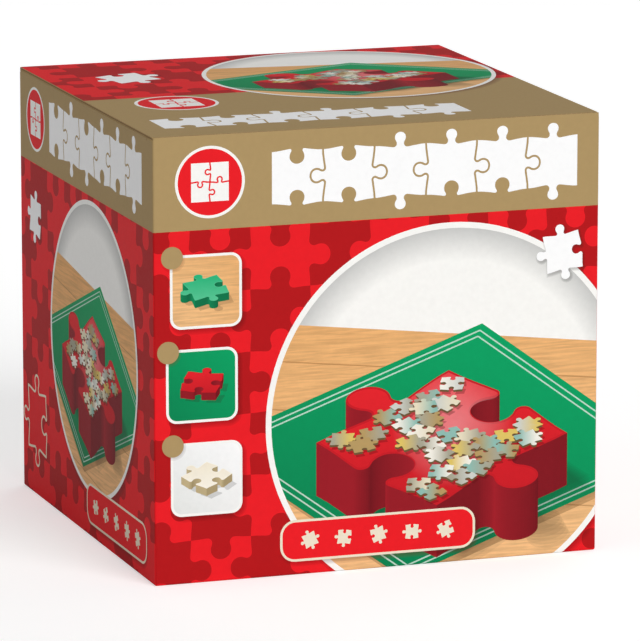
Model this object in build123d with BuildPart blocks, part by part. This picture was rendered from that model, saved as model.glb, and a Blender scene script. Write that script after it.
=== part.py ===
from build123d import *
from math import cos, radians, sin, tan
import os

# A folding carton with a hinged tuck lid, and the stack of square sorting trays that it holds.
# Millimetres. X runs from left to right as seen from the front, Y from front to back, Z up.
# The origin is the centre of the base, on the surface that the carton stands on.

# Trays: moulded plastic, all alike, each foot standing in the rim of the tray below.
tray_count = 6
tray_side = 200.0           # across the rim, outside
tray_corner_radius = 20.0   # at the rim, outside
tray_band = 18.0            # how much of each tray shows in the stack
tray_wall = 1.8
tray_seat = 0.8             # width of the shoulder that bears on the rim below
tray_foot_height = 3.0      # how far a foot drops into the tray below
tray_foot_clearance = 0.5   # round the foot, inside the rim below
tray_rim_margin = 0.8       # upright stretch of the rim below the foot that it takes
tray_floor = 1.8
tray_recess = 1.2           # hollow under the floor, inside the ring that the tray stands on
tray_foot_ring = 4.0        # width of that ring
tray_floor_fillet = 3.0
tray_edge_round = 0.5

# Carton: litho-laminated board, folded and glued.
board = 1.2
carton_height = 200.0
tray_clearance = 2.8        # between the rim and the carton's walls
crease_radius = 0.9         # outside of a fold
glue_flap_width = 18.0
glue_flap_end_gap = 1.5
glue_flap_taper = 30.0      # degrees
bottom_inner_reach = 150.0
bottom_short_reach = 90.0
bottom_flap_taper = 12.0    # degrees
flap_corner_radius = 8.0

# Lid, tuck flap and dust flaps.
lid_end_gap = 0.3           # between the lid's front end and the front panel
lid_side_gap = 0.3
tuck_length = 22.0
tuck_slant = 6.5            # degrees, inwards from upright
tuck_top_gap = 0.35
tuck_side_gap = 1.5
tuck_corner_radius = 12.0
dust_reach = 88.0
dust_front_inset = 8.0      # room for the tuck flap in front of the dust flaps
dust_front_taper = 8.0      # degrees
dust_rear_gap = 0.5
dust_rear_taper = 35.0      # degrees, so that the flap stays under the lid as both rise
dust_slot_gap = 0.3

# Trays, worked out.
rim_half = tray_side / 2
rim_inner_half = rim_half - tray_wall
foot_half = rim_inner_half - tray_foot_clearance
shoulder_half = rim_inner_half + tray_seat
floor_half = foot_half - tray_wall
tray_height = tray_band + tray_foot_height
floor_top = tray_recess + tray_floor
rim_start = tray_height - tray_foot_height - tray_rim_margin

# Carton, worked out.
inner_side = tray_side + 2 * tray_clearance
inner_half = inner_side / 2
carton_side = inner_side + 2 * board
carton_half = carton_side / 2
bottom_outer_z = 0.0
bottom_inner_z = bottom_outer_z + board
bottom_side_z = bottom_inner_z + board
stack_base = bottom_side_z + board
lid_z = carton_height - board
dust_z = lid_z - board
lid_front_y = -inner_half + lid_end_gap
dust_front_y = -inner_half + dust_front_inset
dust_rear_y = inner_half - dust_rear_gap

os.makedirs("parts", exist_ok=True)


def save(part, name):
    """Label one finished piece and write it as its own file."""
    part.label = name
    export_step(part, f"parts/{name}.step")


def tray_outline(half):
    """A tray's outline at one height: all of them share their corner centres."""
    RectangleRounded(2 * half, 2 * half, tray_corner_radius - (rim_half - half))


def make_tray(base):
    """One tray standing at height base: foot, flared wall, upright rim, hollow and recess."""
    with BuildPart() as tray:
        with BuildSketch(Plane.XY.offset(base)):
            tray_outline(foot_half)
        extrude(amount=tray_foot_height)
        with BuildSketch(Plane.XY.offset(base + tray_foot_height)):
            tray_outline(shoulder_half)
        with BuildSketch(Plane.XY.offset(base + rim_start)):
            tray_outline(rim_half)
        loft(ruled=True)
        with BuildSketch(Plane.XY.offset(base + rim_start)):
            tray_outline(rim_half)
        extrude(amount=tray_height - rim_start)

        with BuildSketch(Plane.XY.offset(base + floor_top)):
            tray_outline(floor_half)
        with BuildSketch(Plane.XY.offset(base + rim_start)):
            tray_outline(rim_inner_half)
        loft(ruled=True, mode=Mode.SUBTRACT)
        with BuildSketch(Plane.XY.offset(base + rim_start)):
            tray_outline(rim_inner_half)
        extrude(amount=tray_height - rim_start, mode=Mode.SUBTRACT)
        with BuildSketch(Plane.XY.offset(base)):
            tray_outline(foot_half - tray_foot_ring)
        extrude(amount=tray_recess, mode=Mode.SUBTRACT)

        flat_faces = tray.faces().filter_by(Axis.Z)
        rim_edges = flat_faces.sort_by(Axis.Z)[-1].edges()
        foot_edges = flat_faces.sort_by(Axis.Z)[0].outer_wire().edges()
        fillet(rim_edges + foot_edges, radius=tray_edge_round)
        floor_face = tray.faces().filter_by(Axis.Z).filter_by(lambda face: face.normal_at().Z > 0)
        fillet(floor_face.sort_by(SortBy.AREA)[-1].edges(), radius=tray_floor_fillet)
    return tray.part


def wall_ring(side):
    """One wall of the ring of four, between its two mitred corners: side is -1 or 1 along X or Y."""
    RectangleRounded(carton_side, carton_side, crease_radius)
    Rectangle(inner_side, inner_side, mode=Mode.SUBTRACT)
    corners = [
        (-carton_half, side * carton_half),
        (carton_half, side * carton_half),
        (inner_half, side * inner_half),
        (-inner_half, side * inner_half),
    ]
    Polygon(*corners, align=None, mode=Mode.INTERSECT)


def make_side_panel(side):
    """A side wall, lowered by one board where its dust flap folds over it."""
    with BuildPart() as panel:
        with BuildSketch(Plane.XY.rotated((0, 0, 90))):
            wall_ring(side)
        extrude(amount=lid_z)
        slot_front = dust_front_y - dust_slot_gap
        with BuildSketch(Plane.XY.offset(dust_z)):
            with Locations((0, (slot_front + carton_half) / 2)):
                Rectangle(carton_side, carton_half - slot_front)
        extrude(amount=board, mode=Mode.SUBTRACT)
    return panel.part


def make_dust_flap(side):
    """The flap that folds in over a side wall, under the lid; its rear edge tapers forwards."""
    fold_x = side * carton_half
    end_x = side * (carton_half - dust_reach)
    front_end_y = dust_front_y + dust_reach * tan(radians(dust_front_taper))
    rear_end_y = dust_rear_y - dust_reach * tan(radians(dust_rear_taper))
    with BuildPart() as flap:
        with BuildSketch(Plane.XY.offset(dust_z)) as outline:
            with BuildLine():
                Polyline(
                    (fold_x, dust_front_y),
                    (fold_x, dust_rear_y),
                    (end_x, rear_end_y),
                    (end_x, front_end_y),
                    close=True,
                )
            make_face()
            free_end = outline.vertices().group_by(Axis.X)[0 if side > 0 else -1]
            fillet(free_end, radius=flap_corner_radius)
        extrude(amount=board)
    return flap.part


def make_bottom_side_flap(side):
    """The bottom flap of a side wall: the trays stand on this pair."""
    fold_x = side * inner_half
    end_x = side * (inner_half - bottom_short_reach)
    end_half = inner_half - bottom_short_reach * tan(radians(bottom_flap_taper))
    with BuildPart() as flap:
        with BuildSketch(Plane.XY.offset(bottom_side_z)) as outline:
            with BuildLine():
                Polyline(
                    (fold_x, -inner_half),
                    (fold_x, inner_half),
                    (end_x, end_half),
                    (end_x, -end_half),
                    close=True,
                )
            make_face()
            free_end = outline.vertices().group_by(Axis.X)[0 if side > 0 else -1]
            fillet(free_end, radius=flap_corner_radius)
        extrude(amount=board)
    return flap.part


with BuildPart() as front_panel:
    with BuildSketch():
        wall_ring(-1)
    extrude(amount=carton_height)
save(front_panel.part, "front_panel")

with BuildPart() as back_panel:
    with BuildSketch():
        wall_ring(1)
    extrude(amount=lid_z)
save(back_panel.part, "back_panel")

# A side wall is the ring's wall turned a quarter turn, so its side changes sign.
save(make_side_panel(1), "left_panel")
save(make_side_panel(-1), "right_panel")

# The glue flap turns in from the left wall and is glued inside the back wall.
glue_low = stack_base + glue_flap_end_gap
glue_high = dust_z - glue_flap_end_gap
glue_drop = glue_flap_width * tan(radians(glue_flap_taper))
with BuildPart() as glue_flap:
    with BuildSketch(Plane.XZ.offset(-inner_half)):
        with BuildLine():
            Polyline(
                (-inner_half, glue_low),
                (-inner_half + glue_flap_width, glue_low + glue_drop),
                (-inner_half + glue_flap_width, glue_high - glue_drop),
                (-inner_half, glue_high),
                close=True,
            )
        make_face()
    extrude(amount=board)
save(glue_flap.part, "glue_flap")

# The bottom is closed from both long folds and glued: the back wall's flap is outermost.
with BuildPart() as bottom_outer_flap:
    with BuildSketch(Plane.XY.offset(bottom_outer_z)):
        Rectangle(inner_side, inner_side)
    extrude(amount=board)
save(bottom_outer_flap.part, "bottom_outer_flap")

with BuildPart() as bottom_inner_flap:
    with BuildSketch(Plane.XY.offset(bottom_inner_z)) as inner_outline:
        inner_end_half = inner_half - bottom_inner_reach * tan(radians(bottom_flap_taper))
        with BuildLine():
            Polyline(
                (-inner_half, -inner_half),
                (inner_half, -inner_half),
                (inner_end_half, -inner_half + bottom_inner_reach),
                (-inner_end_half, -inner_half + bottom_inner_reach),
                close=True,
            )
        make_face()
        fillet(inner_outline.vertices().group_by(Axis.Y)[-1], radius=flap_corner_radius)
    extrude(amount=board)
save(bottom_inner_flap.part, "bottom_inner_flap")

save(make_bottom_side_flap(-1), "bottom_left_flap")
save(make_bottom_side_flap(1), "bottom_right_flap")

# The lid folds from the top of the back wall: its pivot is the lower edge of its rear end.
with BuildPart() as lid_panel:
    with BuildSketch(Plane.XY.offset(lid_z)):
        with Locations((0, (lid_front_y + carton_half) / 2)):
            Rectangle(carton_side - 2 * lid_side_gap, carton_half - lid_front_y)
    extrude(amount=board)
    top_edges = lid_panel.faces().sort_by(Axis.Z)[-1].edges().filter_by(Axis.X)
    fillet(top_edges.sort_by(Axis.Y)[-1], radius=crease_radius)
save(lid_panel.part, "lid_panel")

# The tuck flap hangs from the lid's front end inside the front wall. Its slant keeps its
# tip, which swings on a wider circle than its fold, off the front wall as the lid rises.
slant = radians(tuck_slant)
tuck_plane = Plane(origin=(0, lid_front_y, lid_z), x_dir=(1, 0, 0), z_dir=(0, cos(slant), sin(slant)))
with BuildPart() as tuck_flap:
    with BuildSketch(tuck_plane) as tuck_outline:
        with Locations((0, tuck_top_gap + tuck_length / 2)):
            Rectangle(inner_side - 2 * tuck_side_gap, tuck_length)
        fillet(tuck_outline.vertices().group_by(Axis.Y)[-1], radius=tuck_corner_radius)
    extrude(amount=board)
save(tuck_flap.part, "tuck_flap")

save(make_dust_flap(-1), "left_dust_flap")
save(make_dust_flap(1), "right_dust_flap")

for number in range(1, tray_count + 1):
    save(make_tray(stack_base + (number - 1) * tray_band), f"tray_{number}")
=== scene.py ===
import bpy
import numpy as np
from mathutils import Matrix, Vector
from mathutils.geometry import delaunay_2d_cdt


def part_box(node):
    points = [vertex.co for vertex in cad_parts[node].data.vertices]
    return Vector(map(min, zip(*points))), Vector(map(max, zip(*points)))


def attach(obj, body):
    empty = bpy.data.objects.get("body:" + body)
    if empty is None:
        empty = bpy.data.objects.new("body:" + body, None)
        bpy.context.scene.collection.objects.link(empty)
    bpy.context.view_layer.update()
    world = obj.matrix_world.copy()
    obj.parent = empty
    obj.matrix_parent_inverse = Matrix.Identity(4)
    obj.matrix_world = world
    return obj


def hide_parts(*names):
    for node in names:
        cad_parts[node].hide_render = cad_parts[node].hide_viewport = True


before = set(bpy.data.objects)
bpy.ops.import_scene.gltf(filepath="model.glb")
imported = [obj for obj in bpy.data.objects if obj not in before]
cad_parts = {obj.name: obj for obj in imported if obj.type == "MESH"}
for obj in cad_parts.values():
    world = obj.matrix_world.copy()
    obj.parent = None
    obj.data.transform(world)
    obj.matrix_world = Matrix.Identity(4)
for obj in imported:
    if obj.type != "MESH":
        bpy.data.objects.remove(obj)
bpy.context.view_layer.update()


# ---------------------------------------------------------------------------------------------
# The view. The carton is seen from its front left and a little above, through a very long lens,
# so that its upright edges stay upright and its depth is drawn short.
# ---------------------------------------------------------------------------------------------
carton_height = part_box("front_panel")[1][2]
view_azimuth = np.radians(-18.98)
view_elevation = np.radians(11.57)
view_distance = 2.651                        # metres, from the carton's middle
view_centre_offset = (0.00795, -0.00744)     # of the view's middle from the carton's, right and up
view_focal_pixels = 5779.0
image_long_side = 641
sensor_width = 36.0                          # millimetres
view_limit = 100.0                           # metres

view_back = np.array([
    np.sin(view_azimuth) * np.cos(view_elevation),
    -np.cos(view_azimuth) * np.cos(view_elevation),
    np.sin(view_elevation),
])
view_right = np.cross([0.0, 0.0, 1.0], view_back)
view_right /= np.linalg.norm(view_right)
view_up = np.cross(view_back, view_right)
camera = bpy.data.objects.new("camera", bpy.data.cameras.new("camera"))
camera.data.sensor_width = sensor_width
camera.data.lens = view_focal_pixels / image_long_side * sensor_width
camera.data.clip_end = view_limit
camera_place = (np.array([0.0, 0.0, carton_height / 2]) + view_distance * view_back
                + view_centre_offset[0] * view_right + view_centre_offset[1] * view_up)
camera.matrix_world = Matrix((
    (view_right[0], view_up[0], view_back[0], camera_place[0]),
    (view_right[1], view_up[1], view_back[1], camera_place[1]),
    (view_right[2], view_up[2], view_back[2], camera_place[2]),
    (0.0, 0.0, 0.0, 1.0),
))
bpy.context.scene.collection.objects.link(camera)
bpy.context.scene.camera = camera
bpy.context.scene.view_settings.view_transform = "Standard"


# ---------------------------------------------------------------------------------------------
# Studio. A pale floor and soft lamps: a key from the front right, weaker ones from the left and
# the back, and an even sky. Camera rays see the floor and the sky brighter, as white.
# ---------------------------------------------------------------------------------------------
def linear_colour(code):
    """An sRGB hex colour as linear red, green, blue and 1: the standard sRGB curve, undone."""
    values = np.array([int(code[i:i + 2], 16) for i in (1, 3, 5)]) / 255
    low = values / 12.92
    high = ((values + 0.055) / 1.055) ** 2.4
    return (*np.where(values <= 0.04045, low, high).tolist(), 1.0)


def add_node(tree, kind, settings=None, **inputs):
    """Adds one node. settings go to its properties, and inputs to its sockets, as values or links:
    a socket goes by its name, with _ for each space, or by _ and its number."""
    node = tree.nodes.new(kind)
    for key, value in (settings or {}).items():
        setattr(node, key, value)
    for key, value in inputs.items():
        socket = node.inputs[int(key[1:])] if key[0] == "_" else node.inputs[key.replace("_", " ")]
        if isinstance(value, bpy.types.NodeSocket):
            tree.links.new(value, socket)
        else:
            socket.default_value = value
    return node


def new_material(name):
    """An empty node material: returns it, its tree and its output node."""
    material = bpy.data.materials.new(name)
    material.use_nodes = True
    tree = material.node_tree
    tree.nodes.clear()
    return material, tree, tree.nodes.new("ShaderNodeOutputMaterial")


pure_white = linear_colour("#ffffff")
mirror_share = 0.05          # how much of that extra white a gloss picks up: the varnish is dull


def seen_directly(tree):
    """1 for camera and through-glass rays, less for mirror rays, 0 for those that light things."""
    path = add_node(tree, "ShaderNodeLightPath")
    mirrored = add_node(tree, "ShaderNodeMath", {"operation": "MULTIPLY"},
                        _0=path.outputs["Is Glossy Ray"], _1=mirror_share)
    first = add_node(tree, "ShaderNodeMath", {"operation": "MAXIMUM"},
                     _0=path.outputs["Is Camera Ray"], _1=mirrored.outputs[0])
    both = add_node(tree, "ShaderNodeMath", {"operation": "MAXIMUM"},
                    _0=first.outputs[0], _1=path.outputs["Is Transmission Ray"])
    return both.outputs[0]


floor_colour = "#e2e2e2"
floor_glow = 0.50            # added for direct rays only, so that the lit floor reads as white
floor_half = 60.0
floor_drop = 0.00005         # keeps the floor from touching the printed base
floor_corners = [(-floor_half, -floor_half, -floor_drop), (floor_half, -floor_half, -floor_drop),
                 (floor_half, floor_half, -floor_drop), (-floor_half, floor_half, -floor_drop)]
floor_mesh = bpy.data.meshes.new("floor")
floor_mesh.from_pydata(floor_corners, [], [(0, 1, 2, 3)])
floor = bpy.data.objects.new("floor", floor_mesh)
bpy.context.scene.collection.objects.link(floor)
floor_paper, tree, output = new_material("seamless_white_paper")
glow = add_node(tree, "ShaderNodeMath", {"operation": "MULTIPLY"},
                _0=seen_directly(tree), _1=floor_glow)
paper = add_node(tree, "ShaderNodeBsdfPrincipled", Base_Color=linear_colour(floor_colour),
                 Roughness=0.9, Specular_IOR_Level=0.1,
                 Emission_Color=pure_white, Emission_Strength=glow.outputs[0])
tree.links.new(paper.outputs[0], output.inputs[0])
floor_mesh.materials.append(floor_paper)

sky_light = 0.24
world = bpy.data.worlds.new("studio_sky")
bpy.context.scene.world = world
world.use_nodes = True
world.node_tree.nodes.clear()
sky_seen = add_node(world.node_tree, "ShaderNodeMapRange",
                    Value=seen_directly(world.node_tree), To_Min=sky_light, To_Max=1.0)
sky = add_node(world.node_tree, "ShaderNodeBackground", Color=pure_white,
               Strength=sky_seen.outputs[0])
add_node(world.node_tree, "ShaderNodeOutputWorld", Surface=sky.outputs[0])

lamp_distance = 3.0          # metres, only to keep it clear of the carton: a sun has no place


def soft_lamp(name, direction, level, spread, mirrored=True):
    """A very wide, far lamp. level is what it adds to a matt white face square to it, where 1 is
    white, and spread is the angle in degrees that it fills, seen from the carton. A lamp that is
    not mirrored stands for light off matt walls, and makes no gloss."""
    lamp = bpy.data.objects.new(name, bpy.data.lights.new(name, "SUN"))
    lamp.data.energy = level * np.pi
    lamp.data.angle = np.radians(spread)
    lamp.rotation_euler = Vector(direction).to_track_quat("Z", "Y").to_euler()
    lamp.location = Vector(direction).normalized() * lamp_distance
    lamp.visible_glossy = mirrored
    bpy.context.scene.collection.objects.link(lamp)


soft_lamp("key_lamp", direction=(0.25, -0.85, 0.46), level=0.67, spread=40.0)
soft_lamp("left_lamp", direction=(-0.92, -0.20, 0.30), level=0.13, spread=50.0)
soft_lamp("back_lamp", direction=(0.72, 0.64, 0.22), level=0.36, spread=50.0, mirrored=False)


# ---------------------------------------------------------------------------------------------
# Front wall. Litho-laminated fluted board: a coated sheet, printed and varnished, glued on thin
# brown flute. The whole sheet is cut along its creases, and bends round them in small rounds.
# The print is a two-tone field of jigsaw cells under a tan band, with plain puzzle motifs. Its
# sizes are in millimetres, on the flat sheet: from the wall's middle and up from its base.
# ---------------------------------------------------------------------------------------------
millimetre = 0.001
side_low, side_high = (np.array(corner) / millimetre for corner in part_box("left_panel"))
carton_half = -side_low[0]
board = side_high[0] - side_low[0]
inner_half = carton_half - board
wall_top = carton_height / millimetre
crease_round = 0.9
corner_bend = np.radians(45.0)      # each wall takes half of an upright corner
base_bend = np.radians(75.0)        # how far a wall's sheet turns under at the base
bend_steps = 4
flute_pitch = 2.4

red_bright = "#ed1b24"
red_deep = "#b61217"
red_shadow = "#5c070b"
tan = "#af9465"
paper_white = "#fbfaf6"
blank_white = "#ffffff"
cream = "#efe6cf"
green_light = "#00a363"
green_deep = "#008250"
wood_light = "#f5c289"
wood_deep = "#eeb475"


def circle(centre, radius, count=120):
    """Points evenly round a circle, against the clock."""
    turn = np.linspace(0, 2 * np.pi, count, endpoint=False)
    return np.stack([centre[0] + radius * np.cos(turn), centre[1] + radius * np.sin(turn)], 1)


def rectangle(low, high):
    """The four corners of a rectangle, against the clock."""
    return [(low[0], low[1]), (high[0], low[1]), (high[0], high[1]), (low[0], high[1])]


def rounded_box(low, high, radius, steps=8):
    """A rectangle with quarter circles at its corners, against the clock."""
    turn = np.arange(4)[:, None] * np.pi / 2 + np.linspace(0, np.pi / 2, steps)
    left, right = low[0] + radius, high[0] - radius
    bottom, top = low[1] + radius, high[1] - radius
    across = np.array([right, left, left, right])[:, None] + radius * np.cos(turn)
    up = np.array([top, top, bottom, bottom])[:, None] + radius * np.sin(turn)
    return np.stack([across, up], 2).reshape(-1, 2)


# A knob's radius, the height of its centre, the radius of the arcs at its neck, and how far the
# edge bows, all as shares of the cell: of loose pieces, and of the stouter cells of the field.
slim_knob = (0.125, 0.165, 0.055, 0.05)
stout_knob = (0.17, 0.20, 0.09, 0.03)


def knob_edge(side, steps, knob_shape):
    """One edge of a jigsaw cell from (0, 0) to (1, 0), without its last point.
    Two small arcs of radius q, tangent to the edge, run into one large arc of radius r about
    (0.5, h): their centres lie q + r apart. side 1 bulges to the left of travel, -1 to the right,
    0 is straight. The whole edge bows by a small sine, as die-cut edges do, and its straight
    stretches have points for that."""
    if side == 0:
        return np.array([[0.0, 0.0]])
    knob, rise, neck, bow = knob_shape
    reach = np.sqrt((knob + neck) ** 2 - (rise - neck) ** 2)
    lean = np.arctan2(rise - neck, reach)
    first = np.linspace(-np.pi / 2, lean, steps)
    round_top = np.linspace(np.pi + lean, -lean, 3 * steps)[1:-1]
    last = np.linspace(np.pi - lean, 3 * np.pi / 2, steps)
    points = np.concatenate([
        [[0.0, 0.0], [0.10, 0.0], [0.20, 0.0]],
        np.stack([0.5 - reach + neck * np.cos(first), neck + neck * np.sin(first)], 1),
        np.stack([0.5 + knob * np.cos(round_top), rise + knob * np.sin(round_top)], 1),
        np.stack([0.5 + reach + neck * np.cos(last), neck + neck * np.sin(last)], 1),
        [[0.80, 0.0], [0.90, 0.0]],
    ])
    points[:, 1] -= bow * np.sin(np.pi * points[:, 0]) ** 2
    points[:, 1] *= side
    return points


def turning(angle):
    """The matrix that turns rows of points by an angle, against the clock."""
    return np.array([[np.cos(angle), np.sin(angle)], [-np.sin(angle), np.cos(angle)]])


def jigsaw_cell(sides, centre, size, turn=0.0, flatten=np.eye(2), knob_shape=slim_knob):
    """A jigsaw cell, against the clock from its lower left corner. sides are its lower, right,
    upper and left edges: 1 has a knob outside, -1 a socket, 0 neither. The unit cell is scaled to
    its size, turned, flattened into the slanting view of a picture, and moved. The larger the
    cell, the more points its arcs have."""
    steps = int(np.clip(size / 4, 3, 9))
    edges = [(knob_edge(-side, steps, knob_shape) - 0.5) @ turning(quarter * np.pi / 2 + turn)
             for quarter, side in enumerate(sides)]
    return size * np.concatenate(edges) @ np.transpose(flatten) + centre


def inset(outline, by):
    """Moves each edge of an outline inwards. With n and m the inward normals of the two edges that
    meet at a point, the point moves by (n + m) / (1 + n.m), and by less at a sharp corner."""
    run = np.roll(outline, -1, 0) - outline
    ahead = run / np.linalg.norm(run, axis=1, keepdims=True) @ np.array([[0, 1], [-1, 0]])
    behind = np.roll(ahead, 1, 0)
    spread = np.maximum(1 + (ahead * behind).sum(1, keepdims=True), 0.5)
    return outline + by * (ahead + behind) / spread


def toward(start, end):
    """A share of the plane: 0 at one point, 1 at another, and even between them."""
    start, run = np.array(start, float), np.subtract(end, start)
    return lambda points: np.clip((points - start) @ run / (run @ run), 0, 1)


def outward(centre, near, far):
    """A share of the plane: 0 up to one radius about a centre, 1 from another on."""
    def share(points):
        distance = np.hypot(*np.moveaxis(points - centre, -1, 0))
        return np.clip((distance - near) / (far - near), 0, 1)
    return share


def ink(outline, colour, cover=1.0, fade=None, inside=None, grain=0.0):
    """One printed area. cover is how much it hides of what is under it. fade is a share of the
    plane, with the colour and the cover that the area reaches where that share is 1. inside is
    another area that this one is cut to, and grain marks printed wood."""
    start = np.array(linear_colour(colour)[:3] + (cover,))
    end = start if fade is None else np.array(linear_colour(fade[1])[:3] + (fade[2],))
    return {"outline": np.asarray(outline, float), "start": start, "change": end - start,
            "share": fade and fade[0], "inside": inside, "grain": grain}


def soft_shadow(shape, spread, cover, steps=5):
    """A shadow with a soft edge: the same shape at several sizes, each hiding a little. shape is a
    function from how far it grows to its outline."""
    each = 1 - (1 - cover) ** (1 / steps)
    return [ink(shape(grow), red_shadow, each) for grow in np.linspace(spread, -spread, steps)]


def strip(start, end, width):
    """A thin straight line as a rectangle about it, against the clock."""
    start, end = np.array(start, float), np.array(end, float)
    side = (end - start) / np.linalg.norm(end - start) @ np.array([[0, 1], [-1, 0]]) * width / 2
    return [start - side, end - side, end + side, start + side]


def jigsaw_field(low, high, cell, seed):
    """The deep red cells of a two-tone jigsaw: every other cell of a grid, knobs by seeded
    chance."""
    columns = int(np.ceil((high[0] - low[0]) / cell))
    rows = int(np.ceil((high[1] - low[1]) / cell))
    chance = np.random.default_rng(seed)
    upright = chance.choice([-1, 1], (columns + 1, rows))
    level = chance.choice([-1, 1], (columns, rows + 1))
    areas = []
    for i in range(columns):
        for j in range(i % 2, rows, 2):
            sides = (-level[i, j], upright[i + 1, j], level[i, j + 1], -upright[i, j])
            centre = (low[0] + (i + 0.5) * cell, low[1] + (j + 0.5) * cell)
            areas.append(ink(jigsaw_cell(sides, centre, cell, knob_shape=stout_knob), red_deep))
    return areas


slant_view = np.array([[0.84, -0.60], [0.30, 0.44]])     # the ground, as the pictures draw it
red_piece = ("#e8222b", "#c81924", "#6d0f19", "#a51c28")
green_piece = ("#1fb277", "#57c795", "#05603c", "#0b8a57")
cream_piece = ("#f1e8d2", "#fbf6e8", "#9c8a62", "#c9b78d")
rim_share = 0.012            # the width of the line round a piece's top, as a share of its size
least_run = 1e-6             # a stretch of outline that runs less to the right is hidden or upright


def standing_cell(sides, centre, size, turn, height, looks, inside):
    """A thick jigsaw piece lying on the ground of the picture. Each stretch of its outline that
    faces the viewer drops a wall, lighter where it faces left, and the top covers the rest.
    looks are the top's near and far colours and the walls' dark and light ones."""
    top, top_far, shade, shade_lit = looks
    outline = jigsaw_cell(sides, centre, size, turn, slant_view)
    ahead = np.roll(outline, -1, axis=0)
    along = ahead - outline
    facing = np.flatnonzero(along[:, 0] > least_run)
    facing = facing[np.argsort(-outline[facing, 1])]
    lit = 0.5 - 0.5 * along[:, 1] / np.hypot(*along.T)
    dark, light = (np.array(linear_colour(code)[:3]) for code in (shade, shade_lit))
    drop = np.array([0.0, -height])
    areas = []
    for k in facing:
        wall = ink([outline[k] + drop, ahead[k] + drop, ahead[k], outline[k]], shade, inside=inside)
        wall["start"] = np.append(dark + (light - dark) * lit[k], 1.0)
        areas.append(wall)
    low, high = outline.min(0), outline.max(0)
    fade = (toward((centre[0], high[1]), (centre[0], low[1])), top_far, 1.0)
    return areas + [ink(outline, top_far, inside=inside),
                    ink(inset(outline, size * rim_share), top, fade=fade, inside=inside)]


loose_colours = ("#e9dfc3", "#cfd2cb", "#8fbdb2", "#e0c566", "#b79a63", "#f4f1e6", "#a9a692")
cut_edge_brown = "#6b5536"
socket_spots = np.array([[-0.34, 0.0], [0.34, 0.0], [-0.40, 0.0], [0.40, 0.0]])
spot_reach = 0.42            # how far from the middle of the large piece, as a share of its size
spot_spacing = 0.105
spot_tries = 60              # for each piece wanted


def loose_cells(centre, large, turned, count, size, seed, inside):
    """Small jigsaw pieces strewn on a large one that has sockets to its left and right, far ones
    first. Seeded random spots keep apart, and twice as far off the sockets. Each piece has a small
    shadow, a cut edge in brown, and a top that runs between two of a few faded picture colours."""
    chance = np.random.default_rng(seed)
    chosen = socket_spots
    for spot in chance.uniform(-spot_reach, spot_reach, (spot_tries * count, 2)):
        is_socket = np.arange(len(chosen)) < len(socket_spots)
        apart = np.hypot(*(chosen - spot).T) / np.where(is_socket, 2.0, 1.0)
        if len(chosen) < count + len(socket_spots) and apart.min() > spot_spacing:
            chosen = np.concatenate([chosen, [spot]])
    ground = chosen[len(socket_spots):] * large @ turning(turned) @ slant_view.T + centre
    thick = size * 0.09
    areas = []
    for place in ground[np.argsort(-ground[:, 1])]:
        sides = chance.choice([-1, 1], 4)
        turn = chance.uniform(0, 2 * np.pi)
        colour, other = chance.choice(loose_colours, 2)
        shadow = jigsaw_cell(sides, place + [thick, -2.2 * thick], size, turn, slant_view)
        edge = jigsaw_cell(sides, place - [0.0, thick], size, turn, slant_view)
        top = jigsaw_cell(sides, place, size, turn, slant_view)
        fade = (toward(place - [size * 0.4, 0], place + [size * 0.4, 0]), other, 1.0)
        areas += [ink(shadow, red_shadow, cover=0.45, inside=inside),
                  ink(edge, cut_edge_brown, inside=inside),
                  ink(top, colour, fade=fade, inside=inside)]
    return areas


wall_shade = "#5b6063"
plank_joint = "#9c6b3a"
mat_shadow = "#6e4a22"
mat_line = "#cfeadd"
piece_shadow = "#10281a"
shine = "#f7a9ad"
picture_unit = 70.0          # the radius that the round picture's measures are drawn for
table_corners = [[-90, -90], [90, -90], [90, 20], [-90, 41]]
plank_ends = ((27, 6), (9, -13), (-20, -44), (-52, -78))
mat_half = 64.0
mat_lines = (57.5, 60.5)
large_size, large_turn, large_height = 68.0, 0.12, 20.0
large_sides = (1, -1, 1, -1)
large_cast = np.array([13.0, -24.0])
shine_radius = 24.0
loose_count, loose_size = 30, 8.6


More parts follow.
